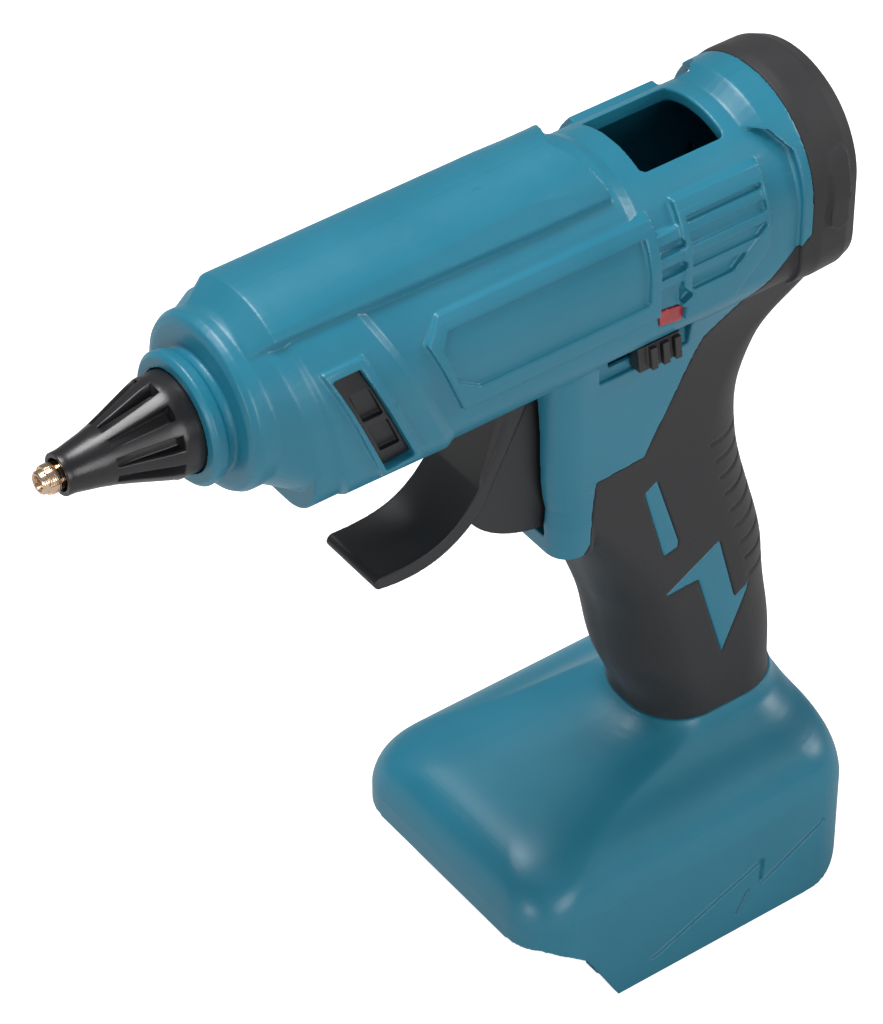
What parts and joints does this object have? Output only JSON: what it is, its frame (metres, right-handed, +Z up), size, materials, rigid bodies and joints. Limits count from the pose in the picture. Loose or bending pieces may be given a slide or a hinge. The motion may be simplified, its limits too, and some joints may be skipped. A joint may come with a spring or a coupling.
{
  "type": "cordless hot-melt glue gun",
  "caption": "Pistol-shaped hot-melt glue gun with a finned nozzle shroud, curved lever trigger, soft grip and a wide foot that slides onto a tool battery.",
  "frame": {"origin": "centre of the bounding box in X and Y, at the plane the foot's skirts stand on", "axes": "+X towards the nozzle, +Y towards the side with the switch and lamp, +Z up"},
  "size_m": [0.213, 0.078, 0.2452],
  "materials": {
    "hard_shell": "satin moulded plastic",
    "soft_grip": "matte soft elastomer",
    "black_plastic": "fine-textured moulded plastic",
    "shroud": "heat-resistant plastic, slight gloss",
    "brass": "machined",
    "aluminium": "die cast",
    "steel": "plated",
    "silicone": "silicone",
    "ceramic": "insulating",
    "led_red": "tinted lens",
    "board": "coated board",
    "lead_red": "insulation"
  },
  "bodies": {
    "body": {"housing_left": "hard_shell", "housing_right": "hard_shell", "grip_left": "soft_grip", "grip_right": "soft_grip", "vent_insert_left": "black_plastic", "vent_insert_right": "black_plastic", "nozzle_shroud": "shroud", "nozzle": "brass", "melt_chamber": "aluminium", "heater": "ceramic", "chamber_ring": "ceramic", "inlet_sleeve": "silicone", "sleeve_clip": "steel", "inlet_bush": "black_plastic", "guide_rods": "steel", "return_springs": "steel", "trigger_pin": "steel", "switch_body": "black_plastic", "led_lens": "led_red", "led_board": "board", "control_board": "board", "terminal_block": "black_plastic", "battery_blades": "brass", "heater_leads": "lead_red", "switch_leads": "lead_red", "housing_screws": "steel"},
    "trigger": {"trigger": "black_plastic"},
    "carriage": {"carriage": "black_plastic", "clamp_pin": "steel"},
    "stick_clamp": {"stick_clamp": "steel"},
    "switch": {"switch_slider": "black_plastic"}
  },
  "joints": [
    {"name": "trigger_pivot", "type": "hinge", "parent": "body", "child": "trigger", "pos_m": [-0.0135, 0, 0.197], "axis": [0, 1, 0], "range_deg": [0, 22], "stiffness_Nm_per_rad": 0.6, "springref_deg": -28.65},
    {"name": "carriage_slide", "type": "slide", "parent": "body", "child": "carriage", "axis": [1, 0, 0], "range_m": [0, 0.00775], "deforming": ["return_springs"]},
    {"name": "clamp_tilt", "type": "hinge", "parent": "carriage", "child": "stick_clamp", "pos_m": [-0.0246, 0, 0.207], "axis": [0, -1, 0], "range_deg": [0, 6.5]},
    {"name": "power_switch", "type": "slide", "parent": "body", "child": "switch", "axis": [1, 0, 0], "range_m": [0, 0.006]}
  ],
  "couplings": [
    {"joint": "carriage_slide", "follows": "trigger_pivot", "m_per_rad": 0.020054},
    {"joint": "clamp_tilt", "follows": "trigger_pivot", "ratio": 0.27273}
  ]
}
